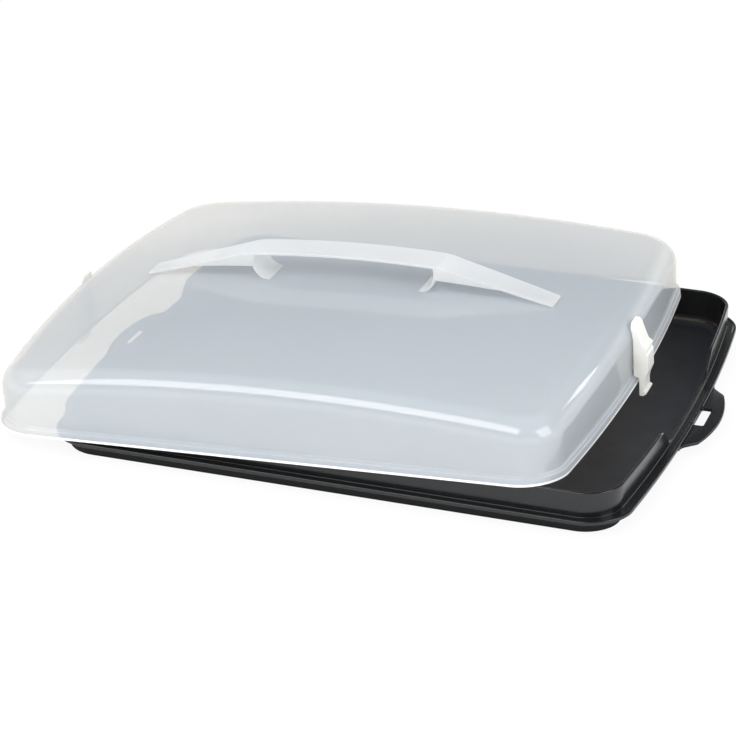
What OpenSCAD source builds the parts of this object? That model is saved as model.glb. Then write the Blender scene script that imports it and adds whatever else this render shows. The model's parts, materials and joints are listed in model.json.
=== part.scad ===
// Cake carrier: a dark rectangular tray, a translucent lid with a carrying handle, and two snap latches.
// The tray stands on z = 0, centred on the origin, with its length along X.
// The lid lies askew on it, drawn to the left, with its right end resting on the tray's rim wall.

/* [Tray] */
// Length over the lip, at the middle of the bowed ends
tray_l = 418; // [380:1:440]
// Width over the lip
tray_w = 366; // [320:1:380]
// How far the ends bow outwards
end_bow = 10.4; // [4:0.2:16]
// Corner radius of the lip
lip_r = 29.4; // [27:0.2:40]
// Height of the top of the lip
lip_z = 11.7; // [10.6:0.1:14]
// Height of the top of the rim wall
rim_z = 29; // [22:0.5:34]
// How far the groove in the flange lies below the lip
flange_fall = 0.5; // [0.4:0.1:0.8]
// Outward lean of the rim wall, in degrees
rim_lean = 1.5; // [0.5:0.5:3]
// Wall thickness
tray_t = 2.2; // [1.8:0.1:2.6]
// Floor thickness
floor_t = 2.6; // [2:0.1:3]
// Radius between floor and wall, inside
cove_r = 8; // [6:0.5:10]
// How far the foot of the tray is set in from the lip
foot_in = 8.5; // [7.6:0.1:9.6]
// Half width of the dip in each end of the rim wall
dip_half = 52; // [30:1:60]
// Length of the slope at each side of the dip
dip_slope = 22; // [14:0.5:28]
// Height of the rim wall above the lip in the dip
dip_rise = 1.1; // [1:0.1:5]

/* [Tabs] */
// Reach of each tab beyond the lip
tab_reach = 15.4; // [12:0.2:18]
// Half width of the tab's outer edge
tab_half = 39; // [30:1:44]
// Radius of the tab's bowed outer edge
tab_edge_r = 127; // [100:1:200]
// Thickness of the tab
tab_t = 2.2; // [1.8:0.1:3]
// How far the tab's top lies below the lip
tab_drop = 1.8; // [1.4:0.1:2]
// Length of the slot for the latch tongue
slot_l = 28.6; // [22:0.2:40]

/* [Lid] */
// Height of the plain crown at its middle, above the lid's lower edge
lid_h = 61.8; // [56:0.2:75]
// Wall thickness
lid_t = 1.6; // [1.2:0.1:2]
// How far the lid's rim band is set in from the lip
lid_in = 0.4; // [0.2:0.1:0.6]
// Height of the rim band
band_h = 6; // [5:0.2:6.2]
// How far the rim band stands out from the wall
band_out = 3; // [2.4:0.1:3.6]
// Radius of the rounded top edge
edge_r = 14.2; // [10:0.2:18]
// Fall of the crown from the middle to the ends
crown_end_fall = 14.4; // [8:0.2:16]
// Fall of the crown from the middle to the long sides
crown_side_fall = 10.5; // [6:0.2:12]
// How far the middle of the top is flattened below the plain crown
crown_flat = 2.2; // [0:0.1:3]

/* [Handle] */
// Length of the strap
strap_l = 302; // [270:1:320]
// Width of the strap over the grip
strap_w = 28.4; // [22:0.2:36]
// Width of the strap at its feet
foot_w = 20; // [14:0.5:22]
// Thickness of the strap
strap_t = 2.2; // [1.8:0.1:2.8]
// Height of the grip above the flattened crown
strap_rise = 20.8; // [20:0.2:24]
// Half length of the grip
grip_half = 64; // [56:1:70]
// Radius of the grip's arch
grip_r = 935; // [700:5:1200]
// Length of the bend between the grip and each arm
bend_l = 12; // [8:1:16]
// Thickness of the side skirts and the webs under the strap
web_t = 1.7; // [1.4:0.1:2]
// Radius of each web
web_r = 15.2; // [13.6:0.1:15.6]
// Depth of each side skirt where it meets the web
side_d = 9; // [6:0.2:10]
// Length of each side skirt
side_l = 45; // [30:1:50]

/* [Latches] */
// Width of each latch
latch_w = 18; // [16.6:0.2:21]
// Height of the latch pad's top above the lid's lower edge
latch_top = 46.2; // [42:0.2:50]
// Depth of the latch over its block, from the lid's wall
latch_d = 11.2; // [10.6:0.2:13]
// Gap between the lid's wall and the latch
latch_gap = 1.3; // [1:0.1:1.6]
// Gap between the lid's rim band and the tongue
tongue_gap = 2.1; // [2:0.1:2.6]
// Thickness of the tongue
tongue_t = 3; // [2.6:0.1:3.2]
// How far the tongue's barb catches under the tab
barb_catch = 0.8; // [0.5:0.1:1.2]
// Height of the trunnions above the lid's lower edge
pivot_z = 16.5; // [15.5:0.1:17.5]
// Diameter of the trunnions
pin_d = 3; // [2.6:0.1:3.4]
// Thickness of the latch's cheeks and skin
skin_t = 2; // [1.8:0.1:2.2]

/* [Fit] */
// Gap left between parts that rest on each other
rest_gap = 0.3; // [0.2:0.05:0.5]
// Radial clearance of the trunnions in the latch
pin_gap = 0.05; // [0.02:0.01:0.1]
// Side clearance of the lug between the latch's cheeks
lug_gap = 0.4; // [0.3:0.05:0.6]
// Gap between the tongue and the inner side of its slot
swing_gap = 2.4; // [2:0.1:2.8]
// Gap between the tongue and the outer side of its slot
slot_gap = 1.8; // [1.4:0.1:2.2]
// Gap between the closed lid's wall and the foot of the tray's rim wall
rim_gap = 1.6; // [1.3:0.1:2.2]
// How far the lid is drawn to the left
lid_shift = 42; // [30:1:50]

/* [Hidden] */
$fn = 48;
eps = 0.02;

// Arc of n steps as a list of points
function arc(c, r, a0, a1, n) =
    [for (i = [0:n]) let (a = a0 + (a1 - a0) * i / n) [c.x + r * cos(a), c.y + r * sin(a)]];

// Level outline, counter-clockwise from the +X end. The ends bow outwards by end_bow.
// end_ys are the places of the points along an end, side_n is the number of steps along a side.
corner_n = 8;
function square_outline(hl, hw, r, end_ys, side_n) =
    let (cx = hl - r, cy = hw - r)
    concat(
        [for (y = end_ys) [hl, y]],
        arc([cx, cy], r, 0, 90, corner_n),
        [for (i = [1:1:side_n - 1]) [cx - 2 * cx * i / side_n, hw]],
        arc([-cx, cy], r, 90, 180, corner_n),
        [for (y = end_ys) [-hl, -y]],
        arc([-cx, -cy], r, 180, 270, corner_n),
        [for (i = [1:1:side_n - 1]) [-cx + 2 * cx * i / side_n, -hw]],
        arc([cx, -cy], r, 270, 360, corner_n));
function bowed(p, hl, hw) = [p.x * (1 + end_bow * (1 - pow(p.y / hw, 2)) / hl), p.y];
corner_share = 0.9;
function outline(inset, end_ys, side_n) =
    let (hl = tray_l / 2 - end_bow - inset, hw = tray_w / 2 - inset, r = lip_r - corner_share * inset)
    [for (p = square_outline(hl, hw, r, end_ys, side_n)) bowed(p, hl, hw)];

// Faces of a skin over closed rings of n points, with a middle point before and after them
function skin_faces(rings, n) = concat(
    [for (i = [0:n - 1]) [0, 1 + (i + 1) % n, 1 + i]],
    [for (k = [0:rings - 2], i = [0:n - 1])
        let (a = 1 + k * n + i, b = 1 + k * n + (i + 1) % n) each [[a, b, a + n], [b, b + n, a + n]]],
    [for (i = [0:n - 1])
        let (a = 1 + (rings - 1) * n) [a + i, a + (i + 1) % n, 1 + rings * n]]);
module skin(first, rings, last) {
    n = len(rings[0]);
    points = concat([first], [for (ring = rings) each ring], [last]);
    polyhedron(points = points, faces = skin_faces(len(rings), n), convexity = 10);
}

// Section of the tray, from the floor outwards and back under it: insets from the lip and heights.
// top is the height of the rim wall at that place. The lid's wall fits round the rim wall.
groove_z = lip_z - flange_fall;
under_z = groove_z - tray_t;
wall_foot = lid_in + band_out + lid_t + rim_gap;
dip_z = lip_z + dip_rise;
wall_run = tray_t / cos(rim_lean);
function wall_out(z) = wall_foot - (z - groove_z) * tan(rim_lean);
function wall_in(z) = wall_out(z) + wall_run;
cove_x = wall_in(floor_t + cove_r * (1 - sin(rim_lean))) + cove_r * cos(rim_lean);
cove_end = 90 - rim_lean;
lip_bead = 0.8;
function cove(r, a) = [cove_x - r * sin(a), floor_t + cove_r - r * cos(a)];
function tray_section(top) = concat(
    [for (i = [0:4]) cove(cove_r, cove_end * i / 4)],
    [for (a = [0:45:180])
        let (c = top - tray_t / 2) [wall_out(c) + wall_run * (1 + cos(a)) / 2, c + tray_t / 2 * sin(a)]],
    [
        [wall_foot, groove_z + 0.15],
        [wall_foot - 0.5, groove_z],
        [3 * lip_bead, groove_z + 0.1],
        [2 * lip_bead, lip_z - 0.1],
        [lip_bead, lip_z],
        [0.1, lip_z - 0.5],
        [0, lip_z - tray_t],
        [lip_bead, under_z - 0.2],
        [wall_foot, under_z],
        [foot_in, 0.8],
        [foot_in + 0.6, 0]
    ]);

tray_e = tray_w / 2 - lip_r;
slope_n = 4;
tray_half_ys = concat(
    [dip_half / 2],
    [for (i = [0:slope_n]) dip_half + dip_slope * i / slope_n],
    [0.68 * tray_e, 0.84 * tray_e]);
tray_ys = concat([for (i = [len(tray_half_ys) - 1:-1:0]) -tray_half_ys[i]], [0], tray_half_ys);
// The top of the rim wall eases down into the dip at each end
function rim_top(y) =
    let (t = min(1, max(0, (abs(y) - dip_half) / dip_slope)))
    dip_z + (rim_z - dip_z) * t * t * (3 - 2 * t);

tab_top = lip_z - tab_drop;
tab_x = tray_l / 2 + tab_reach;
tongue_x = tray_l / 2 - lid_in + tongue_gap;
slot_x0 = tongue_x - swing_gap;
slot_x1 = tongue_x + tongue_t + slot_gap;

module tray_shell() {
    edge = outline(0, tray_ys, 1);
    inner = outline(10, tray_ys, 1);
    sections = [for (p = edge) tray_section(rim_top(p.y))];
    rings = [for (k = [0:len(sections[0]) - 1])
        [for (i = [0:len(edge) - 1])
            let (s = sections[i][k], p = edge[i] + (inner[i] - edge[i]) * s.x / 10) [p.x, p.y, s.y]]];
    skin([0, 0, floor_t], rings, [0, 0, 0]);
}

// Half of the tab's outline: the bowed edge, a round corner, a slope and a hollow fillet into the lip
tab_corner_r = 5;
tab_fillet_r = 10;
function tab_half_outline() =
    let (
        a = asin(tab_half / tab_edge_r),
        c = [tab_x - tab_edge_r, 0],
        k = c + (tab_edge_r - tab_corner_r) * [cos(a), sin(a)],
        lip_x = tray_l / 2 - end_bow * pow(2 * (tab_half + 11) / tray_w, 2),
        q = k + tab_corner_r * [cos(45), sin(45)],
        fillet_y = q.y + (q.x - lip_x) + tab_fillet_r * tan(22.5))
    concat(
        arc(c, tab_edge_r, 0, a, 6),
        arc(k, tab_corner_r, a + 9, 45, 3),
        arc([lip_x + tab_fillet_r, fillet_y], tab_fillet_r, 225, 180, 4),
        [[lip_x - 2 * lip_bead, fillet_y]]);
module tab() {
    half = tab_half_outline();
    last = len(half) - 1;
    root_x = tray_l / 2 - wall_foot - tray_t / 2;
    outline = concat(
        [for (i = [last:-1:1]) [half[i].x, -half[i].y]],
        half,
        [[root_x, tab_half], [root_x, -tab_half]]);
    translate([0, 0, tab_top - tab_t])
        linear_extrude(tab_t) polygon(outline);
}
slot_r = 1.6;
module slot() {
    h = lip_z + tray_t;
    translate([(slot_x0 + slot_x1) / 2, 0, h / 2]) {
        cube([slot_x1 - slot_x0, slot_l - 2 * slot_r, h], center = true);
        cube([slot_x1 - slot_x0 - 2 * slot_r, slot_l, h], center = true);
        for (sx = [-1, 1], sy = [-1, 1])
            translate([sx * ((slot_x1 - slot_x0) / 2 - slot_r), sy * (slot_l / 2 - slot_r), 0])
                cylinder(r = slot_r, h = h, center = true);
    }
}
module tray() {
    color("#2f3136")
        difference() {
            union() {
                tray_shell();
                tab();
                mirror([1, 0, 0]) tab();
            }
            slot();
            mirror([1, 0, 0]) slot();
        }
}

// The lid, in its own frame: its lower edge is at z = 0.
// Height of the top surface above that edge
top_hl = tray_l / 2;
top_hw = tray_w / 2;
function top_z(x, y) =
    let (u = x / top_hl, v = y / top_hw, flat = (1 - pow(u, 4)) * pow(1 - v * v, 2))
    lid_h - crown_end_fall * u * u - crown_side_fall * v * v - crown_flat * flat;

wall_inset = lid_in + band_out;
band_in = 2;
// Section of the lid up its outer side: insets from the lip and heights
band_section = [
    [lid_in + 0.4, 0],
    [lid_in, 0.4],
    [lid_in, band_h - 0.8],
    [lid_in + 0.6, band_h - 0.1],
    [wall_inset - 0.6, band_h + 0.2],
    [wall_inset, band_h + 0.9]
];
inner_band_section = [
    [lid_in + band_in - 0.8, 0],
    [lid_in + band_in - 0.4, 0.4],
    [lid_in + band_in - 0.4, band_h - 1.8],
    [wall_inset + lid_t, band_h - 0.4]
];
lid_e = tray_w / 2 - lip_r;
lid_ys = [for (i = [-4:4]) lid_e * i / 5];
lid_side_n = 10;
edge_n = 6;
crown_n = 6;

module lid_shell() {
    edge = outline(0, lid_ys, lid_side_n);
    inner = outline(10, lid_ys, lid_side_n);
    n = len(edge);
    function at(i, inset) = edge[i] + (inner[i] - edge[i]) * inset / 10;
    function level(s) = [for (i = [0:n - 1]) let (p = at(i, s.x)) [p.x, p.y, s.y]];
    // Ring at angle a of the rounded edge, drop below the outer skin
    function rounded(a, drop) = [for (i = [0:n - 1])
        let (r = edge_r - drop, p = at(i, wall_inset + drop + r * (1 - cos(a))))
        [p.x, p.y, top_z(p.x, p.y) - drop - r * (1 - sin(a))]];
    // Ring of the crown, shrunk to share f
    function crown(f, drop) = [for (i = [0:n - 1])
        let (p = f * at(i, wall_inset + edge_r)) [p.x, p.y, top_z(p.x, p.y) - drop]];
    rings = concat(
        [for (k = [1:crown_n - 1]) crown(k / crown_n, 0)],
        [for (k = [edge_n:-1:0]) rounded(90 * k / edge_n, 0)],
        [for (k = [len(band_section) - 1:-1:0]) level(band_section[k])],
        [for (s = inner_band_section) level(s)],
        [for (k = [0:edge_n]) rounded(90 * k / edge_n, lid_t)],
        [for (k = [crown_n - 1:-1:1]) crown(k / crown_n, lid_t)]);
    skin([0, 0, top_z(0, 0)], rings, [0, 0, top_z(0, 0) - lid_t]);
}

// Lug with two trunnions that carries a latch, on the +X end
wall_x = tray_l / 2 - wall_inset;
pivot_x = wall_x + 5.3;
lug_r = 2.6;
lug_half = latch_w / 2 - skin_t - lug_gap;
pin_half = latch_w / 2 - 0.2;
module along_y(half) {
    translate([0, half, 0]) rotate([90, 0, 0]) linear_extrude(2 * half) children();
}
module lug() {
    root = wall_x - lid_t / 2;
    along_y(lug_half)
        polygon([
            [root, pivot_z - 5.5],
            [pivot_x - 1.5, pivot_z - lug_r],
            [pivot_x, pivot_z - lug_r],
            [pivot_x, pivot_z + lug_r],
            [pivot_x - 1.5, pivot_z + lug_r],
            [root, pivot_z + 5.5]
        ]);
    translate([pivot_x, 0, pivot_z]) rotate([90, 0, 0]) {
        cylinder(r = lug_r, h = 2 * lug_half, center = true);
        cylinder(d = pin_d, h = 2 * pin_half, center = true);
    }
}

// The lid lies with the underside of its long walls on the tray's lip at the left,
// and with its right corners on the tops of the long rim walls.
left_rest_x = tray_l / 2 - 0.82 * lip_r - lid_shift;
lid_corner_r = lip_r - corner_share * 2 * lid_in;
lid_corner_x = tray_l / 2 - end_bow - 2 * lid_in - lid_corner_r;
lid_corner_y = tray_w / 2 - 2 * lid_in - lid_corner_r;
rim_y = tray_w / 2 - wall_out(rim_z - tray_t);
right_rest_x = lid_corner_x + sqrt(pow(lid_corner_r, 2) - pow(rim_y - lid_corner_y, 2)) - 2 * lid_in;
lid_tilt = asin((rim_z - lip_z) / (left_rest_x + right_rest_x));
lid_z = lip_z + rest_gap + left_rest_x * sin(lid_tilt);
module placed() {
    translate([-lid_shift, 0, lid_z]) rotate([0, -lid_tilt, 0]) children();
}
module lid() {
    color([0.86, 0.88, 0.9])
        placed() {
            lid_shell();
            lug();
            mirror([1, 0, 0]) lug();
        }
}

// The handle, in the lid's frame. Height of the strap's top at x
grip_z = top_z(0, 0) + strap_rise;
foot_x = strap_l / 2;
bend_x = grip_half + bend_l;
grip_slope = grip_half / grip_r;
foot_z = top_z(foot_x, 0) + strap_t - 0.3;
grip_end_z = grip_z - grip_half * grip_half / (2 * grip_r);
// The arm's slope is such that the bend, which eases between both slopes, ends on it
arm_slope = (grip_end_z - grip_slope * bend_l / 2 - foot_z) / (foot_x - bend_x + bend_l / 2);
bend_end_z = grip_end_z - (grip_slope + arm_slope) * bend_l / 2;
function strap_z(x) =
    let (a = abs(x), u = a - grip_half)
    a <= grip_half ? grip_z - a * a / (2 * grip_r)
        : a <= bend_x ? grip_end_z - grip_slope * u - (arm_slope - grip_slope) * u * u / (2 * bend_l)
        : bend_end_z - arm_slope * (a - bend_x);
function seat_z(x) = top_z(x, 0) + eps;
strap_half_xs = concat(
    [for (i = [0:8]) grip_half * i / 8],
    [for (i = [1:4]) grip_half + bend_l * i / 4],
    [for (i = [1:10]) bend_x + (foot_x - bend_x) * i / 10]);
strap_last = len(strap_half_xs) - 1;
strap_xs = concat([for (i = [strap_last:-1:1]) -strap_half_xs[i]], strap_half_xs);

module strap_plan(inset) {
    w = strap_w / 2 - inset;
    f = foot_w / 2 - inset;
    polygon([
        [-bend_x, -w], [bend_x, -w], [foot_x, -f], [foot_x, f],
        [bend_x, w], [-bend_x, w], [-foot_x, f], [-foot_x, -f]
    ]);
}
module within_plan(inset) {
    intersection() {
        linear_extrude(grip_z + strap_w) strap_plan(inset);
        children();
    }
}
module strap() {
    within_plan(0)
        along_y(strap_w)
            polygon(concat(
                [for (x = strap_xs) [x, strap_z(x)]],
                [for (i = [len(strap_xs) - 1:-1:0])
                    let (x = strap_xs[i]) [x, max(strap_z(x) - strap_t, seat_z(x))]]));
}

// Curved web under the strap at the end of the grip, and the two side skirts beyond it
web_x = grip_half - 10.7;
web_z = strap_z(grip_half) - strap_t / 2 - 5.2;
side_x = web_x + web_r - web_t / 2;
module web() {
    seat_x = web_x + 6;
    tilt = atan((top_z(seat_x - 4, 0) - top_z(seat_x + 4, 0)) / 8);
    difference() {
        translate([web_x, 0, web_z])
            rotate([90, 0, 0])
                difference() {
                    cylinder(r = web_r, h = strap_w, center = true, $fn = 96);
                    cylinder(r = web_r - web_t, h = strap_w + 2, center = true, $fn = 96);
                }
        translate([0, 0, web_z]) cube([2 * web_x, 3 * strap_w, 4 * web_r], center = true);
        translate([seat_x, 0, seat_z(seat_x)]) rotate([0, tilt, 0])
            translate([0, 0, -2 * web_r]) cube([6 * web_r, 3 * strap_w, 4 * web_r], center = true);
        translate([0, 0, strap_z(side_x) - strap_t / 2 + 2 * web_r])
            cube([4 * grip_half, 3 * strap_w, 4 * web_r], center = true);
    }
}
module side_block() {
    top = strap_t / 2;
    end_x = side_x + side_l;
    along_y(strap_w)
        polygon([
            [side_x, strap_z(side_x) - top],
            [bend_x, strap_z(bend_x) - top],
            [end_x, strap_z(end_x) - top],
            [end_x, strap_z(end_x) - strap_t - 0.2],
            [side_x, strap_z(side_x) - top - side_d]
        ]);
}
module side_skirts() {
    difference() {
        within_plan(0) side_block();
        within_plan(web_t) translate([0, 0, -eps]) side_block();
    }
}
module handle() {
    color("#f2f3f3")
        placed() {
            strap();
            for (m = [0, 1]) mirror([m, 0, 0]) {
                web();
                side_skirts();
            }
        }
}

// The latch on the +X end, in the lid's frame
inner_x = wall_x + latch_gap;
block_x = wall_x + latch_d;
tongue_out = tongue_x + tongue_t;
barb_d = slot_gap + barb_catch;
catch_z = tab_top - tab_t - lip_z - 0.2;
tip_z = catch_z - 3.4;
block_z = band_h + 1;
ridge_z = pivot_z + 10.3;
corner_cut = 5;
module latch_profile() {
    polygon([
        [inner_x, block_z],
        [inner_x - 0.2, latch_top - 13],
        [inner_x - 1, latch_top - 8],
        [inner_x - 1.9, latch_top - 3],
        [inner_x - 2, latch_top - 0.8],
        [inner_x - 1.4, latch_top - 0.1],
        [inner_x - 0.6, latch_top],
        [inner_x + 0.4, latch_top - 0.8],
        [inner_x + 2.6, latch_top - 5.8],
        [inner_x + 5.2, ridge_z + 6.2],
        [block_x - 3.1, ridge_z + 2.7],
        [block_x - 1.1, ridge_z + 1.4],
        [block_x - 0.3, ridge_z],
        [block_x - 0.9, ridge_z - 1.4],
        [block_x - 1, ridge_z - 3.6],
        [block_x, ridge_z - 5.3],
        [block_x, pivot_z - 4.5],
        [block_x - 0.6, pivot_z - 8],
        [block_x - 2.2, pivot_z - 11.7],
        [tongue_out + 0.1, 1],
        [tongue_out, catch_z],
        [tongue_out + barb_d, catch_z - 0.6],
        [tongue_out + barb_d - 0.2, catch_z - 1.8],
        [tongue_out - 0.1, tip_z],
        [tongue_x + 0.2, tip_z],
        [tongue_x, tip_z + 0.8],
        [tongue_x, band_h - 0.5]
    ]);
}
module latch() {
    pocket_r = lug_r + 0.5;
    difference() {
        along_y(latch_w / 2) latch_profile();
        // Hollow back between the cheeks, round the lug
        along_y(latch_w / 2 - skin_t)
            polygon([
                [inner_x - 1, block_z - 1],
                [pivot_x - 1.5, pivot_z - 6.5],
                [block_x - skin_t, pivot_z - pocket_r],
                [block_x - skin_t, pivot_z + pocket_r],
                [pivot_x - 1, pivot_z + 9],
                [inner_x - 1, pivot_z + 9]
            ]);
        translate([pivot_x, 0, pivot_z]) rotate([90, 0, 0])
            cylinder(r = pin_d / 2 + pin_gap, h = latch_w + 2, center = true);
        // The pad's top corners are rounded off
        for (sy = [-1, 1]) translate([inner_x, sy * latch_w / 2, latch_top]) rotate([0, 90, 0])
            difference() {
                cube([2 * corner_cut, 2 * corner_cut, 20], center = true);
                translate([corner_cut, -sy * corner_cut, 0]) cylinder(r = corner_cut, h = 22, center = true);
            }
    }
}
module latch_right() {
    color("#f4f5f6") placed() latch();
}
module latch_left() {
    color("#f4f5f6") placed() mirror([1, 0, 0]) latch();
}

tray();
lid();
handle();
latch_left();
latch_right();
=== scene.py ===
# Cake carrier: a charcoal tray, a translucent lid lying askew on it, its carrying strap and two latches.
# Shapes are worked out in millimetres and handed to Blender in metres. Insets run inwards from the lip.
import json
import math

import bmesh
import bpy
import numpy as np
from mathutils import Matrix, Vector


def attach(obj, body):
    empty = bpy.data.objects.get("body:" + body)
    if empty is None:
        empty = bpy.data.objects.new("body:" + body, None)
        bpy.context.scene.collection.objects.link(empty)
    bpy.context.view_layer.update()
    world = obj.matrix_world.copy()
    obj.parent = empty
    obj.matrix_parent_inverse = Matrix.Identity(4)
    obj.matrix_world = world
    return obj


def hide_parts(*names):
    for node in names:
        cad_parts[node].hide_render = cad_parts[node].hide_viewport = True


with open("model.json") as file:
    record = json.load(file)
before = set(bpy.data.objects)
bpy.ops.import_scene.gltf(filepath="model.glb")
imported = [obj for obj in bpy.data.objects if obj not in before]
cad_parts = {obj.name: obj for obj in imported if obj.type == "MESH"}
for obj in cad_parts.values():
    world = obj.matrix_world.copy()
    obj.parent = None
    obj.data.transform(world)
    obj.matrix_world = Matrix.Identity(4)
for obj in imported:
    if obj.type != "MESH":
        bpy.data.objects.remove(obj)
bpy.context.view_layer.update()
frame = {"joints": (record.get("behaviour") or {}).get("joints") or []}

MM = 0.001

# ---- Tray sizes ----
TRAY_L, TRAY_W, END_BOW = 418.0, 366.0, 10.4
LIP_R, LIP_Z, CORNER_SHARE = 29.4, 11.7, 0.9
RIM_Z, RIM_LEAN, RIM_GAP = 29.0, math.radians(1.5), 1.6
FLANGE_FALL, FOOT_IN = 0.5, 8.5
TRAY_T, FLOOR_T, COVE_R = 2.2, 2.6, 8.0
BEAD_FOOT, BEAD_TOP, LIP_EDGE_R = 2.6, 1.9, 1.8
DIP_HALF, DIP_SLOPE, DIP_RISE = 52.0, 22.0, 1.1
TAB_REACH, TAB_HALF, TAB_EDGE_R, TAB_T, TAB_DROP = 15.4, 39.0, 127.0, 2.2, 1.8
SLOT_L, SLOT_R = 28.6, 1.6

# ---- Lid sizes. The lowest part of its edge, EDGE_H high, is painted near white as a painted glow ----
LID_H, LID_T, LID_IN = 61.8, 1.6, 0.4
BAND_H, BAND_OUT, EDGE_R, EDGE_H = 6.0, 3.0, 14.2, 1.8
CROWN_END_FALL, CROWN_SIDE_FALL, CROWN_FLAT = 14.4, 10.5, 2.2

# ---- Handle sizes. SEAT is its clearance over the lid's crown ----
STRAP_L, STRAP_W, FOOT_W, STRAP_T, STRAP_RISE = 302.0, 28.4, 20.0, 2.2, 20.8
GRIP_HALF, GRIP_R, BEND_L, STRAP_END_R = 64.0, 935.0, 12.0, 0.8
WEB_T, WEB_R, WEB_BACK, WEB_DROP = 1.7, 15.2, 10.7, 5.2
SIDE_D, SIDE_L, SEAT = 9.0, 45.0, 0.02

# ---- Latch sizes ----
LATCH_W, LATCH_TOP, LATCH_D = 18.0, 46.2, 11.2
LATCH_GAP, TONGUE_GAP, TONGUE_T = 1.3, 2.1, 3.0
SWING_GAP, SLOT_GAP, BARB_CATCH = 2.4, 1.8, 0.8
PIVOT_OUT, PIVOT_Z, PIN_D, PIN_GAP = 5.3, 16.5, 3.0, 0.05
LUG_R, LUG_GAP, SKIN_T, HOLLOW_R = 2.6, 0.4, 2.0, 3.1
CORNER_CUT, BORE_SKIN, PIN_SHORT = 7.0, 0.15, 0.3

WALL_INSET = LID_IN + BAND_OUT
WALL_X = TRAY_L / 2 - WALL_INSET
PIVOT_X = WALL_X + PIVOT_OUT
TONGUE_X = TRAY_L / 2 - LID_IN + TONGUE_GAP


# ---- The lid's place, from the two latch pivots of the frame ----
def pivot(joint_name):
    joint = next(j for j in frame["joints"] if j["name"] == joint_name)
    return Vector(joint["pos_m"])


pivot_left, pivot_right = pivot("latch_left_turn"), pivot("latch_right_turn")
across = pivot_right - pivot_left
LID_TILT = math.atan2(across.z, across.x)
TURN = Matrix.Rotation(-LID_TILT, 4, "Y")
middle = (pivot_left + pivot_right) / 2
LID_PLACE = Matrix.Translation(middle - TURN @ Vector((0, 0, PIVOT_Z * MM))) @ TURN
TRAY_PLACE = Matrix.Identity(4)


# ---- Outline shared by the tray and the lid ----
def arc(cx, cy, r, a0, a1, n):
    t = np.radians(np.linspace(a0, a1, n + 1))
    return np.column_stack((cx + r * np.cos(t), cy + r * np.sin(t)))


def outline(inset, end_n=60, side_n=60, corner_n=24):
    """Level loop, counter-clockwise: straight sides, bowed ends and round corners."""
    hl, hw = TRAY_L / 2 - END_BOW - inset, TRAY_W / 2 - inset
    r = LIP_R - CORNER_SHARE * inset
    cx, cy = hl - r, hw - r
    up = np.linspace(-cy, cy, end_n + 1)[1:-1]
    along = np.linspace(cx, -cx, side_n + 1)[1:-1]
    loop = np.vstack((
        np.column_stack((np.full_like(up, hl), up)),
        arc(cx, cy, r, 0, 90, corner_n),
        np.column_stack((along, np.full_like(along, hw))),
        arc(-cx, cy, r, 90, 180, corner_n),
        np.column_stack((np.full_like(up, -hl), -up)),
        arc(-cx, -cy, r, 180, 270, corner_n),
        np.column_stack((-along, np.full_like(along, -hw))),
        arc(cx, -cy, r, 270, 360, corner_n),
    ))
    loop[:, 0] *= 1 + END_BOW * (1 - (loop[:, 1] / hw) ** 2) / hl
    return loop


LIP = outline(0)
INWARD = (outline(10) - LIP) / 10


def at_inset(inset):
    """Points of the outline moved inwards. inset is one number, or one for each point."""
    return LIP + INWARD * np.reshape(inset, (-1, 1))


def rounded_path(corners, steps=5, support=0.0):
    """Points through corners (across, height, radius), each rounded to its radius. Radius 0 marks an end.

    A support above 0 adds a point that far beyond each rounding, so that shading stays flat in between.
    """
    points = []
    for i, (x, z, r) in enumerate(corners):
        p = np.array((x, z))
        if r == 0:
            points.append(p)
            continue
        a, b = np.array(corners[i - 1][:2]) - p, np.array(corners[(i + 1) % len(corners)][:2]) - p
        len_a, len_b = np.linalg.norm(a), np.linalg.norm(b)
        a, b = a / len_a, b / len_b
        half = math.acos(np.clip(a @ b, -1, 1)) / 2
        reach = min(r / math.tan(half), 0.49 * len_a, 0.49 * len_b)
        centre = p + (a + b) / np.linalg.norm(a + b) * reach / math.cos(half)
        v0, v1 = p + a * reach - centre, p + b * reach - centre
        turn = math.pi - 2 * half
        if support:
            points.append(p + a * min(reach + support, 0.495 * len_a))
        for k in range(steps + 1):
            s = k / steps
            points.append(centre + (math.sin((1 - s) * turn) * v0 + math.sin(s * turn) * v1) / math.sin(turn))
        if support:
            points.append(p + b * min(reach + support, 0.495 * len_b))
    return np.array(points)


# ---- Mesh helpers ----
def new_piece(name, points_mm, faces, place):
    mesh = bpy.data.meshes.new(name)
    mesh.from_pydata([tuple(p) for p in np.asarray(points_mm) * MM], [], faces)
    mesh.transform(place)
    work = bmesh.new()
    work.from_mesh(mesh)
    bmesh.ops.remove_doubles(work, verts=work.verts, dist=1e-7)
    bmesh.ops.recalc_face_normals(work, faces=work.faces)
    work.to_mesh(mesh)
    work.free()
    piece = bpy.data.objects.new(name, mesh)
    bpy.context.scene.collection.objects.link(piece)
    return piece


def skin(name, rings, place, first=None, last=None):
    """Skin over closed rings of points, closed by a fan to first and last, or by one flat face."""
    n = len(rings[0])
    points = [p for ring in rings for p in ring]
    faces = []
    for k in range(len(rings) - 1):
        for i in range(n):
            a, b = k * n + i, k * n + (i + 1) % n
            faces.append((a, b, b + n, a + n))
    for middle_point, start in ((first, 0), (last, (len(rings) - 1) * n)):
        ring = list(range(start, start + n))
        if middle_point is None:
            faces.append(tuple(ring))
            continue
        points.append(middle_point)
        faces += [(ring[i], ring[(i + 1) % n], len(points) - 1) for i in range(n)]
    return new_piece(name, points, faces, place)


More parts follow.
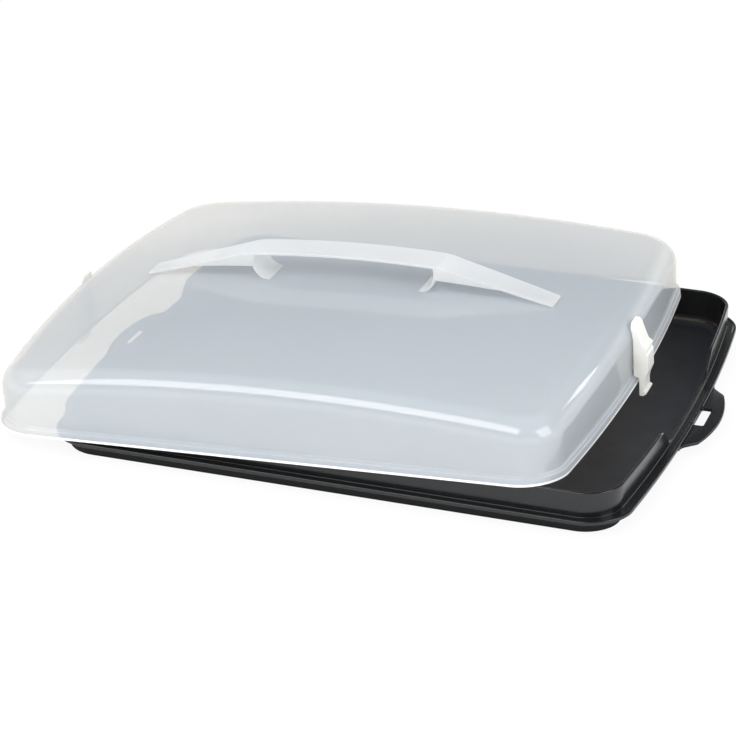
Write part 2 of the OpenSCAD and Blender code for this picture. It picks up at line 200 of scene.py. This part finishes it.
def shrunk(loop, by):
    """A closed counter-clockwise loop of 2-D points moved inwards by a small distance."""
    before, after = np.roll(loop, 1, axis=0), np.roll(loop, -1, axis=0)
    e0, e1 = loop - before, after - loop
    e0 = e0 / np.linalg.norm(e0, axis=1, keepdims=True)
    e1 = e1 / np.linalg.norm(e1, axis=1, keepdims=True)
    n0, n1 = np.column_stack((-e0[:, 1], e0[:, 0])), np.column_stack((-e1[:, 1], e1[:, 0]))
    mitre = n0 + n1
    mitre = mitre / np.maximum((mitre * n0).sum(axis=1, keepdims=True), 0.4)
    return loop + by * mitre


def prism(name, loop, low, high, to_3d, place, r, steps=3):
    """Prism over a counter-clockwise loop, from low to high, with rounded rims of radius r."""
    loop = np.asarray(loop, float)
    rings = []
    quarter = np.linspace(0, math.pi / 2, steps + 1)
    for end, sign, turns in ((low, 1, quarter[::-1]), (high, -1, quarter)):
        for t in turns:
            level = end + sign * r * (1 - math.sin(t))
            rings.append([to_3d(p, level) for p in shrunk(loop, r * (1 - math.cos(t)))])
    return skin(name, rings, place)


def flat_xy(p, z):
    return (p[0], p[1], z)


def upright_xz(p, y):
    return (p[0], y, p[1])


def upright_yz(p, x):
    return (x, p[0], p[1])


def bake_modifiers(piece):
    graph = bpy.context.evaluated_depsgraph_get()
    mesh = bpy.data.meshes.new_from_object(piece.evaluated_get(graph))
    piece.modifiers.clear()
    piece.data = mesh


def combine(piece, other, operation):
    """Unites piece with other, or cuts other from it, and removes other."""
    cut = piece.modifiers.new(operation, "BOOLEAN")
    cut.operation = operation
    cut.solver = "EXACT"
    cut.object = other
    bpy.context.view_layer.update()
    bake_modifiers(piece)
    bpy.data.objects.remove(other)


def smooth(piece, angle=32, weighted=True):
    """Smooth shading. Weighted, it keeps broad faces flat between their rounded edges."""
    piece.data.polygons.foreach_set("use_smooth", [True] * len(piece.data.polygons))
    piece.data.set_sharp_from_angle(angle=math.radians(angle))
    if not weighted:
        return
    even = piece.modifiers.new("even", "WEIGHTED_NORMAL")
    even.keep_sharp = True
    even.weight = 60
    bpy.context.view_layer.update()
    bake_modifiers(piece)


def paint_low(piece, place, height, material):
    """Paints the faces that lie below a height and don't look up with a second material: painted shade on the
    tray's foot, a painted glow on the lid's lowest edge.
    """
    piece.data.materials.append(material)
    to_part = place.inverted()
    for face in piece.data.polygons:
        if (to_part @ face.center).z < height * MM and face.normal.z < 0.3:
            face.material_index = len(piece.data.materials) - 1


def mirrored_x(loop):
    return np.array([(-x, y) for x, y in loop])[::-1]


# ---- Tray ----
GROOVE_Z = LIP_Z - FLANGE_FALL
UNDER_Z = GROOVE_Z - TRAY_T
WALL_FOOT = LID_IN + BAND_OUT + LID_T + RIM_GAP
WALL_RUN = TRAY_T / math.cos(RIM_LEAN)
DIP_Z = LIP_Z + DIP_RISE
TAB_TOP = LIP_Z - TAB_DROP
SLOT_X0, SLOT_X1 = TONGUE_X - SWING_GAP, TONGUE_X + TONGUE_T + SLOT_GAP


def wall_out(z):
    return WALL_FOOT - (z - GROOVE_Z) * math.tan(RIM_LEAN)


def wall_in(z):
    return wall_out(z) + WALL_RUN


def rim_top(y):
    t = min(1.0, max(0.0, (abs(y) - DIP_HALF) / DIP_SLOPE))
    return DIP_Z + (RIM_Z - DIP_Z) * t * t * (3 - 2 * t)


def tray_section(top):
    pan_x = wall_in(FLOOR_T) + COVE_R + 6
    return rounded_path([
        (pan_x, FLOOR_T, 0),
        (wall_in(FLOOR_T), FLOOR_T, COVE_R),
        (wall_in(top), top, 1.0),
        (wall_out(top), top, 1.0),
        (WALL_FOOT, GROOVE_Z, 0.5),
        (BEAD_FOOT, GROOVE_Z, 0.5),
        (BEAD_TOP, LIP_Z, 0.6),
        (0, LIP_Z, LIP_EDGE_R),
        (0, UNDER_Z, 0.7),
        (WALL_FOOT, UNDER_Z, 0.8),
        (FOOT_IN, 0, 0.8),
        (pan_x, 0, 0),
    ], support=0.25)


def tab_half_outline():
    """From the middle of the bowed edge round the corner and down the hollow fillet into the lip."""
    a = math.degrees(math.asin(TAB_HALF / TAB_EDGE_R))
    tab_x = TRAY_L / 2 + TAB_REACH
    corner_r, fillet_r = 5.0, 10.0
    cx = tab_x - TAB_EDGE_R
    kx = cx + (TAB_EDGE_R - corner_r) * math.cos(math.radians(a))
    ky = (TAB_EDGE_R - corner_r) * math.sin(math.radians(a))
    lip_x = TRAY_L / 2 - END_BOW * (2 * (TAB_HALF + 11) / TRAY_W) ** 2
    qx, qy = kx + corner_r * math.cos(math.pi / 4), ky + corner_r * math.sin(math.pi / 4)
    fillet_y = qy + (qx - lip_x) + fillet_r * math.tan(math.pi / 8)
    return np.vstack((
        arc(cx, 0, TAB_EDGE_R, 0, a, 16),
        arc(kx, ky, corner_r, a + 5, 45, 6),
        arc(lip_x + fillet_r, fillet_y, fillet_r, 225, 180, 8),
        [(lip_x - 1.6, fillet_y)],
    ))


def tab_outline():
    half = tab_half_outline()
    low = np.column_stack((half[:0:-1, 0], -half[:0:-1, 1]))
    root_x = TRAY_L / 2 - WALL_FOOT - TRAY_T / 2
    return np.vstack((low, half, [(root_x, TAB_HALF), (root_x, -TAB_HALF)]))


def slot_outline():
    cx, hx, hy = (SLOT_X0 + SLOT_X1) / 2, (SLOT_X1 - SLOT_X0) / 2 - SLOT_R, SLOT_L / 2 - SLOT_R
    return np.vstack([
        arc(cx + sx * hx, sy * hy, SLOT_R, a, a + 90, 6)
        for sx, sy, a in ((1, -1, 270), (1, 1, 0), (-1, 1, 90), (-1, -1, 180))
    ])


def build_tray():
    sections = np.array([tray_section(rim_top(y)) for y in LIP[:, 1]])
    rings = []
    for k in range(sections.shape[1]):
        level = at_inset(sections[:, k, 0])
        rings.append(np.column_stack((level, sections[:, k, 1])))
    tray = skin("tray_shell", rings, TRAY_PLACE, first=(0, 0, FLOOR_T), last=(0, 0, 0))
    for side, flip in (("right", np.array), ("left", mirrored_x)):
        tab = prism("tab_" + side, flip(tab_outline()), TAB_TOP - TAB_T, TAB_TOP, flat_xy, TRAY_PLACE, r=0.6)
        combine(tray, tab, "UNION")
    for flip in (np.array, mirrored_x):
        cutter = prism("cutter", flip(slot_outline()), -1, LIP_Z + 3, flat_xy, TRAY_PLACE, r=0.1, steps=1)
        combine(tray, cutter, "DIFFERENCE")
    smooth(tray, 38, weighted=False)
    return tray


# ---- Lid ----
def top_z(x, y):
    u, v = np.asarray(x) / (TRAY_L / 2), np.asarray(y) / (TRAY_W / 2)
    flat = (1 - u**4) * (1 - v * v) ** 2
    return LID_H - CROWN_END_FALL * u * u - CROWN_SIDE_FALL * v * v - CROWN_FLAT * flat


def lid_ring(inset, drop):
    level = at_inset(inset)
    return np.column_stack((level, top_z(level[:, 0], level[:, 1]) - drop))


def edge_rings(skin_drop, steps=16):
    """Rings of the rounded top edge, from the wall up to the crown."""
    r = EDGE_R - skin_drop
    turns = np.linspace(0, math.pi / 2, steps + 1)
    return [
        lid_ring(WALL_INSET + skin_drop + r * (1 - math.cos(t)), skin_drop + r * (1 - math.sin(t)))
        for t in turns
    ]


def crown_rings(skin_drop, steps=30):
    """Rings of the crown, from near the middle out to the rounded edge."""
    rim = at_inset(WALL_INSET + EDGE_R)
    rings = []
    for share in np.linspace(0.02, 1, steps)[:-1]:
        level = rim * share
        rings.append(np.column_stack((level, top_z(level[:, 0], level[:, 1]) - skin_drop)))
    return rings


def band_rings():
    wall_foot = BAND_H + 4
    inner_x = LID_IN + 1.6
    path = rounded_path([
        (WALL_INSET, wall_foot, 0),
        (WALL_INSET, BAND_H, 1.6),
        (LID_IN + 0.4, BAND_H, 1.6),
        (LID_IN, EDGE_H, 0.6),
        (LID_IN, 0, 0.4),
        (inner_x, 0, 0.4),
        (inner_x, BAND_H - 1.8, 0.8),
        (WALL_INSET + LID_T, BAND_H - 0.4, 1.0),
        (WALL_INSET + LID_T, wall_foot, 0),
    ])
    return [np.column_stack((at_inset(inset), np.full(len(LIP), z))) for inset, z in path]


def build_lid():
    crown_out, crown_in = crown_rings(0), crown_rings(LID_T)
    rings = crown_out + edge_rings(0)[::-1] + band_rings() + edge_rings(LID_T) + crown_in[::-1]
    middle_z = float(top_z(0, 0))
    lid = skin("lid_shell", rings, LID_PLACE, first=(0, 0, middle_z), last=(0, 0, middle_z - LID_T))
    smooth(lid, 50)
    return lid


def lug_loop():
    root_x, root_half, neck_x = WALL_X - LID_T / 2, 5.5, PIVOT_X - 1.5
    return np.vstack((
        [(root_x, PIVOT_Z - root_half), (neck_x, PIVOT_Z - LUG_R)],
        arc(PIVOT_X, PIVOT_Z, LUG_R, -90, 90, 12),
        [(neck_x, PIVOT_Z + LUG_R), (root_x, PIVOT_Z + root_half)],
    ))


def build_lugs():
    """The lug on each end wall, with the short trunnions that carry the latch."""
    lug_half, pin_half = LATCH_W / 2 - SKIN_T - LUG_GAP, LATCH_W / 2 - PIN_SHORT
    pieces = []
    for side, flip in (("right", np.array), ("left", mirrored_x)):
        lug = prism("lid_lug_" + side, flip(lug_loop()), -lug_half, lug_half, upright_xz, LID_PLACE, r=0.4)
        pin_loop = flip(arc(PIVOT_X, PIVOT_Z, PIN_D / 2, 0, 345, 23))
        pin = prism("pin", pin_loop, -pin_half, pin_half, upright_xz, LID_PLACE, r=0.25)
        combine(lug, pin, "UNION")
        smooth(lug)
        pieces.append(lug)
    return pieces


# ---- Handle ----
GRIP_Z = float(top_z(0, 0)) + STRAP_RISE
FOOT_X, BEND_X = STRAP_L / 2, GRIP_HALF + BEND_L
GRIP_SLOPE = GRIP_HALF / GRIP_R
FOOT_Z = float(top_z(FOOT_X, 0)) + STRAP_T - 0.3
GRIP_END_Z = GRIP_Z - GRIP_HALF**2 / (2 * GRIP_R)
ARM_SLOPE = (GRIP_END_Z - GRIP_SLOPE * BEND_L / 2 - FOOT_Z) / (FOOT_X - BEND_X + BEND_L / 2)
BEND_END_Z = GRIP_END_Z - (GRIP_SLOPE + ARM_SLOPE) * BEND_L / 2


def strap_z(x):
    a = abs(x)
    u = a - GRIP_HALF
    if a <= GRIP_HALF:
        return GRIP_Z - a * a / (2 * GRIP_R)
    if a <= BEND_X:
        return GRIP_END_Z - GRIP_SLOPE * u - (ARM_SLOPE - GRIP_SLOPE) * u * u / (2 * BEND_L)
    return BEND_END_Z - ARM_SLOPE * (a - BEND_X)


def strap_half_width(x):
    t = min(1.0, max(0.0, (abs(x) - BEND_X) / (FOOT_X - BEND_X)))
    return STRAP_W / 2 + (FOOT_W - STRAP_W) / 2 * t


def strap_section(x, shrink):
    """Loop across the strap at x: a rounded bar, as (y, z) points."""
    top = strap_z(x) - shrink
    low = max(strap_z(x) - STRAP_T, float(top_z(x, 0)) + SEAT)
    low = low + min(shrink, max(0.0, top - low - 0.3))
    w = strap_half_width(x) - shrink
    r = 0.46 * (top - low)
    return np.vstack((
        arc(w - r, top - r, r, 0, 90, 5),
        arc(-w + r, top - r, r, 90, 180, 5),
        arc(-w + r, low + r, r, 180, 270, 5),
        arc(w - r, low + r, r, 270, 360, 5),
    ))


def build_strap():
    stations = [(x, 0.0) for x in np.concatenate((
        np.linspace(0, GRIP_HALF, 17),
        np.linspace(GRIP_HALF, BEND_X, 9)[1:],
        np.linspace(BEND_X, FOOT_X - STRAP_END_R, 19)[1:],
    ))]
    for t in (0.5, 1.0, math.pi / 2):
        stations.append((FOOT_X - STRAP_END_R * (1 - math.sin(t)), STRAP_END_R * (1 - math.cos(t))))
    stations = [(-x, s) for x, s in stations[:0:-1]] + stations
    rings = [[(x, y, z) for y, z in strap_section(x, s)] for x, s in stations]
    return skin("handle_strap", rings, LID_PLACE)


def seat_z(x):
    return float(top_z(x, 0)) + SEAT


def from_edge(side):
    """Placing for a skirt's points: level runs inwards from the strap's edge on that side."""
    def place_point(p, level):
        return (p[0], side * (strap_half_width(p[0]) - level), p[1])
    return place_point


def build_webs(strap):
    """The curved web and two side skirts under each end of the grip."""
    web_x = GRIP_HALF - WEB_BACK
    web_z = strap_z(GRIP_HALF) - STRAP_T / 2 - WEB_DROP
    side_x = web_x + WEB_R - WEB_T / 2
    start = math.degrees(math.asin((strap_z(side_x) - STRAP_T * 0.7 - web_z) / WEB_R))
    stop = math.degrees(math.asin((seat_z(web_x + 6) - web_z) / WEB_R))
    inner_stop = math.degrees(math.asin(max(-1, (seat_z(web_x + 4) - web_z) / (WEB_R - WEB_T))))
    outer = arc(web_x, web_z, WEB_R, stop, start, 20)
    inner = arc(web_x, web_z, WEB_R - WEB_T, start, inner_stop, 20)
    web_loop = np.vstack((outer, inner))
    end_x = side_x + SIDE_L
    in_strap = STRAP_T / 2
    side_loop = np.array([
        (side_x - 0.4, strap_z(side_x) - in_strap - SIDE_D),
        (side_x + SIDE_L / 2, strap_z(side_x + SIDE_L / 2) - STRAP_T - SIDE_D / 2 + 0.5),
        (end_x, strap_z(end_x) - STRAP_T - 0.1),
        (end_x, strap_z(end_x) - in_strap),
        (BEND_X, strap_z(BEND_X) - in_strap),
        (side_x - 0.4, strap_z(side_x) - in_strap),
    ])
    for flip in (np.array, mirrored_x):
        half = STRAP_W / 2 - 0.1
        web = prism("web", flip(web_loop), -half, half, upright_xz, LID_PLACE, r=0.4)
        combine(strap, web, "UNION")
        for y in (-1, 1):
            skirt = prism("skirt", flip(side_loop), 0.0, WEB_T, from_edge(y), LID_PLACE, r=0.4)
            combine(strap, skirt, "UNION")


def build_handle():
    handle = build_strap()
    build_webs(handle)
    handle.name = "handle_strap"
    smooth(handle, 40)
    return handle


# ---- Latches ----
def latch_loop():
    inner_x, block_x = WALL_X + LATCH_GAP, WALL_X + LATCH_D
    tongue_out = TONGUE_X + TONGUE_T
    barb_x = tongue_out + SLOT_GAP + BARB_CATCH
    catch_z = TAB_TOP - TAB_T - LIP_Z - 0.2
    tip_z = catch_z - 3.4
    ridge_z = PIVOT_Z + 10.3
    tongue = [
        (TONGUE_X, tip_z, 0.7), (tongue_out - 0.1, tip_z, 0.7), (barb_x, catch_z - 1.2, 0.8),
        (tongue_out + 0.1, catch_z + 0.2, 0.3), (tongue_out + 0.1, 1, 1.5),
    ]
    block = [(block_x - 2.2, PIVOT_Z - 11.7, 2), (block_x, PIVOT_Z - 6.5, 3), (block_x, ridge_z - 4.6, 1.2)]
    ridge = [
        (block_x - 1.2, ridge_z - 2.6, 1.6), (block_x - 0.2, ridge_z + 0.3, 1.2),
        (block_x - 3.3, ridge_z + 2.4, 1.6),
    ]
    pad = [
        (inner_x + 4.8, ridge_z + 7, 8), (inner_x + 0.6, LATCH_TOP - 0.4, 1.0),
        (inner_x - 1.9, LATCH_TOP, 0.9), (inner_x - 1.9, LATCH_TOP - 3, 3),
    ]
    back = [(inner_x - 0.2, LATCH_TOP - 13, 4), (inner_x, BAND_H + 1, 0.8), (TONGUE_X, BAND_H - 0.5, 0.6)]
    return rounded_path(tongue + block + ridge + pad + back, steps=4)


def latch_hollow_loop():
    """The room between the latch's cheeks, open towards the lid's wall."""
    open_x, skin_x, roof_z = WALL_X + LATCH_GAP - 1, WALL_X + LATCH_D - SKIN_T, PIVOT_Z + 9
    return np.array([
        (open_x, BAND_H), (PIVOT_X - 1.5, PIVOT_Z - 6.5), (skin_x, PIVOT_Z - HOLLOW_R),
        (skin_x, PIVOT_Z + HOLLOW_R), (PIVOT_X - 1, roof_z), (open_x, roof_z),
    ])


def corner_cutter(y, x):
    """Takes off one top corner of the latch's pad, leaving it round. y and x are 1 or -1, for the side."""
    edge, r = y * LATCH_W / 2, CORNER_CUT
    curve = [(edge - y * r * (1 - math.cos(t)), LATCH_TOP - r * (1 - math.sin(t)))
             for t in np.linspace(0, math.pi / 2, 11)]
    beyond, above = edge + y * 4, LATCH_TOP + 4
    loop = np.array(curve + [(edge - y * r, above), (beyond, above), (beyond, LATCH_TOP - r)])
    loop = loop if y < 0 else loop[::-1]
    reach = sorted((x * (WALL_X - 12), x * (WALL_X + 14)))
    return prism("cutter", loop, reach[0], reach[1], upright_yz, LID_PLACE, r=0.02, steps=1)


def build_latch(side):
    flip, x = (np.array, 1) if side == "right" else (mirrored_x, -1)
    half, hollow_half, bore_half = LATCH_W / 2, LATCH_W / 2 - SKIN_T, LATCH_W / 2 - BORE_SKIN

    def block(name, loop, half_width, r, steps=3):
        return prism(name, flip(loop), -half_width, half_width, upright_xz, LID_PLACE, r=r, steps=steps)

    latch = block("latch_" + side + "_body", latch_loop(), half, 0.5, steps=4)
    for y in (-1, 1):
        combine(latch, corner_cutter(y, x), "DIFFERENCE")
    combine(latch, block("hollow", latch_hollow_loop(), hollow_half, 0.3), "DIFFERENCE")
    bore_loop = arc(PIVOT_X, PIVOT_Z, PIN_D / 2 + PIN_GAP, 0, 345, 23)
    combine(latch, block("bore", bore_loop, bore_half, 0.05), "DIFFERENCE")
    smooth(latch, 34)
    return latch


# ---- Materials ----
MIX_SHARE, FLOAT_A, FLOAT_B, COLOUR_A, COLOUR_B, COLOUR_RESULT = 0, 2, 3, 6, 7, 2  # sockets of a mix node
LID_GLOW, LID_OPAQUE = 0.22, 0.535


def map_range(tree, value, from_low, from_high, low, high):
    span = tree.nodes.new("ShaderNodeMapRange")
    numbers = {"From Min": from_low, "From Max": from_high, "To Min": low, "To Max": high}
    for name, number in numbers.items():
        span.inputs[name].default_value = number
    tree.links.new(value, span.inputs["Value"])
    return span.outputs["Result"]


class Nodes:
    """Short hand for building one material's nodes."""

    def __init__(self, name):
        self.material = bpy.data.materials.new(name)
        self.material.use_nodes = True
        self.tree = self.material.node_tree
        self.tree.nodes.clear()
        self.output = self.tree.nodes.new("ShaderNodeOutputMaterial")

    def add(self, kind, **inputs):
        node = self.tree.nodes.new(kind)
        for name, value in inputs.items():
            node.inputs[name.replace("_", " ")].default_value = value
        return node

    def link(self, source, target):
        self.tree.links.new(source, target)

    def show(self, shader):
        """Makes a shader the material's surface and returns the material."""
        self.link(shader, self.output.inputs[0])
        return self.material

    def noise(self, scale, detail):
        place = self.add("ShaderNodeTexCoord")
        noise = self.add("ShaderNodeTexNoise", Scale=scale, Detail=detail)
        self.link(place.outputs["Object"], noise.inputs["Vector"])
        return noise.outputs["Fac"]

    def mottle(self, low, high, scale):
        """A soft noise in object space, mapped to the range low to high."""
        return map_range(self.tree, self.noise(scale, 3.0), 0.3, 0.7, low, high)

    def bump(self, scale, strength, distance):
        bump = self.add("ShaderNodeBump", Strength=strength, Distance=distance)
        self.link(self.noise(scale, 2.0), bump.inputs["Height"])
        return bump.outputs["Normal"]

    def tinted(self, dark, pale, scale):
        """Base colour that drifts a little between two close tones."""
        mix = self.add("ShaderNodeMix")
        mix.data_type = "RGBA"
        mix.inputs[COLOUR_A].default_value = (*dark, 1)
        mix.inputs[COLOUR_B].default_value = (*pale, 1)
        self.link(self.mottle(0, 1, scale), mix.inputs[MIX_SHARE])
        return mix.outputs[COLOUR_RESULT]

    def blend(self, share, under, over):
        """Shader that shows the share of over, and under for the rest."""
        mix = self.add("ShaderNodeMixShader")
        mix.inputs[0].default_value = share
        self.link(under.outputs[0], mix.inputs[1])
        self.link(over.outputs[0], mix.inputs[2])
        return mix


def tray_plastic():
    """Charcoal plastic. The textured pan is rougher than the polished walls and flange, and its up-facing
    floor is painted paler as painted light.
    """
    n = Nodes("tray_plastic")
    shader = n.add("ShaderNodeBsdfPrincipled", IOR=1.5)
    place = n.add("ShaderNodeTexCoord")
    height, facing = n.add("ShaderNodeSeparateXYZ"), n.add("ShaderNodeSeparateXYZ")
    n.link(place.outputs["Object"], height.inputs[0])
    n.link(place.outputs["Normal"], facing.inputs[0])
    low = map_range(n.tree, height.outputs["Z"], (FLOOR_T + 3.0) * MM, (FLOOR_T + 0.6) * MM, 0, 1)
    # Painted light: the pan's low, up-facing floor gets a paler tone; its rougher gloss is its texture.
    pan = n.add("ShaderNodeMath")
    pan.operation = "MULTIPLY"
    pan.use_clamp = True
    n.link(facing.outputs["Z"], pan.inputs[0])
    n.link(low, pan.inputs[1])
    tone, gloss = n.add("ShaderNodeMix"), n.add("ShaderNodeMix")
    tone.data_type = "RGBA"
    n.link(pan.outputs[0], tone.inputs[MIX_SHARE])
    n.link(pan.outputs[0], gloss.inputs[MIX_SHARE])
    n.link(n.tinted((0.0070, 0.0078, 0.0090), (0.0084, 0.0094, 0.0108), 14), tone.inputs[COLOUR_A])
    n.link(n.tinted((0.0165, 0.0190, 0.0255), (0.0180, 0.0207, 0.0275), 14), tone.inputs[COLOUR_B])
    n.link(n.mottle(0.17, 0.22, 60), gloss.inputs[FLOAT_A])
    n.link(n.mottle(0.50, 0.56, 60), gloss.inputs[FLOAT_B])
    n.link(tone.outputs[COLOUR_RESULT], shader.inputs["Base Color"])
    n.link(gloss.outputs[0], shader.inputs["Roughness"])
    n.link(n.bump(2400, 0.12, 0.0001), shader.inputs["Normal"])
    return n.show(shader.outputs[0])


def plain_plastic(name, dark, pale, scale, roughness, **inputs):
    """Opaque plastic. roughness holds the low end, the high end and the scale of its mottle."""
    n = Nodes(name)
    shader = n.add("ShaderNodeBsdfPrincipled", IOR=1.5, **inputs)
    n.link(n.tinted(dark, pale, scale), shader.inputs["Base Color"])
    n.link(n.mottle(*roughness), shader.inputs["Roughness"])
    return n.show(shader.outputs[0])


def painted_shade_foot_plastic():
    """The tray's underside and foot: rougher than the walls, and painted darker as painted shade under the
    lip.
    """
    return plain_plastic("tray_foot_painted_shade", (0.0040, 0.0044, 0.0050), (0.0048, 0.0053, 0.0060), 14,
                         (0.45, 0.55, 60), Specular_IOR_Level=0.3)


def painted_glow_edge_plastic():
    """The lid's lower edge, painted near white: a painted glow standing in for the light it gathers."""
    return plain_plastic("lid_edge_painted_glow", (0.93, 0.94, 0.95), (0.95, 0.96, 0.97), 20, (0.16, 0.22, 45))


def lid_plastic():
    """Milky plastic: it scatters the blue of the light and lets a little warm light straight through."""
    n = Nodes("lid_plastic")
    skin_shader = n.add("ShaderNodeBsdfPrincipled", Specular_IOR_Level=0.0, Coat_Weight=1.0, Coat_IOR=1.9,
                        Coat_Roughness=0.035)
    n.link(n.tinted((0.66, 0.745, 0.85), (0.68, 0.765, 0.87), 9), skin_shader.inputs["Base Color"])
    n.link(n.mottle(0.3, 0.36, 30), skin_shader.inputs["Roughness"])
    n.link(n.bump(55, 0.05, 0.0006), skin_shader.inputs["Normal"])
    glow = n.add("ShaderNodeBsdfTranslucent", Color=(0.80, 0.83, 0.86, 1))
    clear = n.add("ShaderNodeBsdfTransparent", Color=(1.0, 0.92, 0.80, 1))
    body = n.blend(LID_GLOW, skin_shader, glow)
    return n.show(n.blend(LID_OPAQUE, clear, body).outputs[0])


def milky_plastic(name, dark, pale, glow_share, opaque_share):
    """White plastic that glows a little with the light behind it."""
    n = Nodes(name)
    shader = n.add("ShaderNodeBsdfPrincipled", IOR=1.5)
    n.link(n.tinted(dark, pale, 18), shader.inputs["Base Color"])
    n.link(n.mottle(0.16, 0.22, 45), shader.inputs["Roughness"])
    n.link(n.bump(160, 0.04, 0.0003), shader.inputs["Normal"])
    glow = n.add("ShaderNodeBsdfTranslucent", Color=(*pale, 1))
    clear = n.add("ShaderNodeBsdfTransparent", Color=(1, 1, 1, 1))
    body = n.blend(glow_share, shader, glow)
    return n.show(n.blend(opaque_share, clear, body).outputs[0])


def paint(piece, material):
    piece.data.materials.clear()
    piece.data.materials.append(material)


# ---- Pieces ----
tray_material, lid_material = tray_plastic(), lid_plastic()
strap_material = milky_plastic("handle_plastic", (0.89, 0.90, 0.905), (0.92, 0.93, 0.935), 0.5, 0.5)
latch_material = milky_plastic("latch_plastic", (0.96, 0.96, 0.935), (0.98, 0.98, 0.955), 0.45, 0.92)

tray = build_tray()
paint(tray, tray_material)
# Painted shade: the tray's underside and foot, below the lip, are painted darker.
paint_low(tray, TRAY_PLACE, UNDER_Z, painted_shade_foot_plastic())
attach(tray, "tray")
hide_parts("tray")

lid = build_lid()
paint(lid, lid_material)
# Painted glow: the lid's lowest edge, below EDGE_H, is painted near white.
paint_low(lid, LID_PLACE, EDGE_H, painted_glow_edge_plastic())
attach(lid, "lid")
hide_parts("lid")
for lug in build_lugs():
    paint(lug, lid_material)
    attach(lug, "lid")

handle = build_handle()
paint(handle, strap_material)
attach(handle, "lid")
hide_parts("handle")

for side in ("left", "right"):
    latch = build_latch(side)
    paint(latch, latch_material)
    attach(latch, "latch_" + side)
    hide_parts("latch_" + side)


# ---- Stage, light and camera ----
FLOOR_WHITE, BACKDROP_WHITE, FLOOR_TONE = 0.92, 1.0, 0.8


def floor_material():
    """Pale floor that the camera sees as a white backdrop, with a soft shadow left on it."""
    n = Nodes("floor_paint")
    path, share = n.add("ShaderNodeLightPath"), n.add("ShaderNodeMath")
    floor_paint = n.add("ShaderNodeBsdfDiffuse", Color=(FLOOR_TONE, FLOOR_TONE, FLOOR_TONE, 1))
    white = n.add("ShaderNodeEmission", Color=(1, 1, 1, 1), Strength=BACKDROP_WHITE)
    share.operation = "MULTIPLY"
    share.inputs[1].default_value = FLOOR_WHITE
    n.link(path.outputs["Is Camera Ray"], share.inputs[0])
    mix = n.blend(0, floor_paint, white)
    n.link(share.outputs[0], mix.inputs[0])
    return n.show(mix.outputs[0])


def build_floor(size=8.0, drop=0.0004):
    """A plain floor, a hair below the part. Both numbers are in metres."""
    s = size / 2 / MM
    floor = new_piece("floor", [(-s, -s, 0), (s, -s, 0), (s, s, 0), (-s, s, 0)], [(0, 1, 2, 3)],
                      Matrix.Translation((0, 0, -drop)))
    paint(floor, floor_material())


def build_world(low_light=0.76, high_light=1.06, horizon=1.5, above=0.13):
    """White light, stronger from above. What surfaces mirror is bright low down and dark above."""
    world = bpy.data.worlds.new("studio")
    bpy.context.scene.world = world
    world.use_nodes = True
    tree = world.node_tree
    tree.nodes.clear()
    add, link = tree.nodes.new, tree.links.new
    path, place, height = add("ShaderNodeLightPath"), add("ShaderNodeTexCoord"), add("ShaderNodeSeparateXYZ")
    light, out = add("ShaderNodeBackground"), add("ShaderNodeOutputWorld")
    light.inputs["Color"].default_value = (1, 1, 1, 1)
    link(place.outputs["Generated"], height.inputs[0])

    def choose(ray, otherwise, chosen):
        """chosen for rays of one kind and otherwise for the rest. Each is a socket or a number."""
        mix = add("ShaderNodeMix")
        link(path.outputs[ray], mix.inputs[MIX_SHARE])
        for value, socket in ((otherwise, mix.inputs[FLOAT_A]), (chosen, mix.inputs[FLOAT_B])):
            if isinstance(value, float):
                socket.default_value = value
            else:
                link(value, socket)
        return mix.outputs[0]

    lit = map_range(tree, height.outputs["Z"], 0.0, 0.9, low_light, high_light)
    mirrored = map_range(tree, height.outputs["Z"], 0.14, 0.36, horizon, above)
    seen = choose("Is Camera Ray", choose("Is Glossy Ray", lit, mirrored), BACKDROP_WHITE)
    link(seen, light.inputs["Strength"])
    link(light.outputs[0], out.inputs[0])


def softbox(name, place, target, size, power):
    """Soft rectangular lamp. Places and sizes are in metres, the power in watts."""
    light = bpy.data.lights.new(name, "AREA")
    light.shape = "RECTANGLE"
    light.size, light.size_y = size
    light.energy = power
    lamp = bpy.data.objects.new(name, light)
    lamp.location = place
    lamp.rotation_euler = (Vector(target) - Vector(place)).to_track_quat("-Z", "Y").to_euler()
    bpy.context.scene.collection.objects.link(lamp)


# The camera, as fitted to the photo's outlines
AZIMUTH, ELEVATION = math.radians(19.23), math.radians(24.20)
DISTANCE, SHIFT_RIGHT, SHIFT_UP = 1956.8 * MM, -29.84 * MM, 13.98 * MM
FOCAL_PX, PHOTO_PX, SENSOR = 2751.0, 736, 36.0


def build_camera():
    a, e = AZIMUTH, ELEVATION
    back = Vector((math.sin(a) * math.cos(e), -math.cos(a) * math.cos(e), math.sin(e)))
    right = Vector((math.cos(a), math.sin(a), 0))
    up = back.cross(right)
    place = right * SHIFT_RIGHT + up * SHIFT_UP + back * DISTANCE
    data = bpy.data.cameras.new("camera")
    data.sensor_width = SENSOR
    data.lens = FOCAL_PX / PHOTO_PX * SENSOR
    data.clip_end = 50
    camera = bpy.data.objects.new("camera", data)
    camera.matrix_world = Matrix((
        (right.x, up.x, back.x, place.x),
        (right.y, up.y, back.y, place.y),
        (right.z, up.z, back.z, place.z),
        (0, 0, 0, 1),
    ))
    bpy.context.scene.collection.objects.link(camera)
    bpy.context.scene.camera = camera


build_floor()
build_world()
softbox("key", (-0.45, -1.45, 1.6), (-0.05, 0, 0), (2.1, 1.0), 32)
softbox("side", (2.0, -0.4, 1.1), (0.1, 0, 0.05), (1.2, 1.2), 18)
softbox("rim", (1.37, 1.74, 0.85), (0.2, 0, 0.05), (0.2, 0.45), 1.4)
build_camera()
bpy.context.scene.view_settings.view_transform = "Standard"
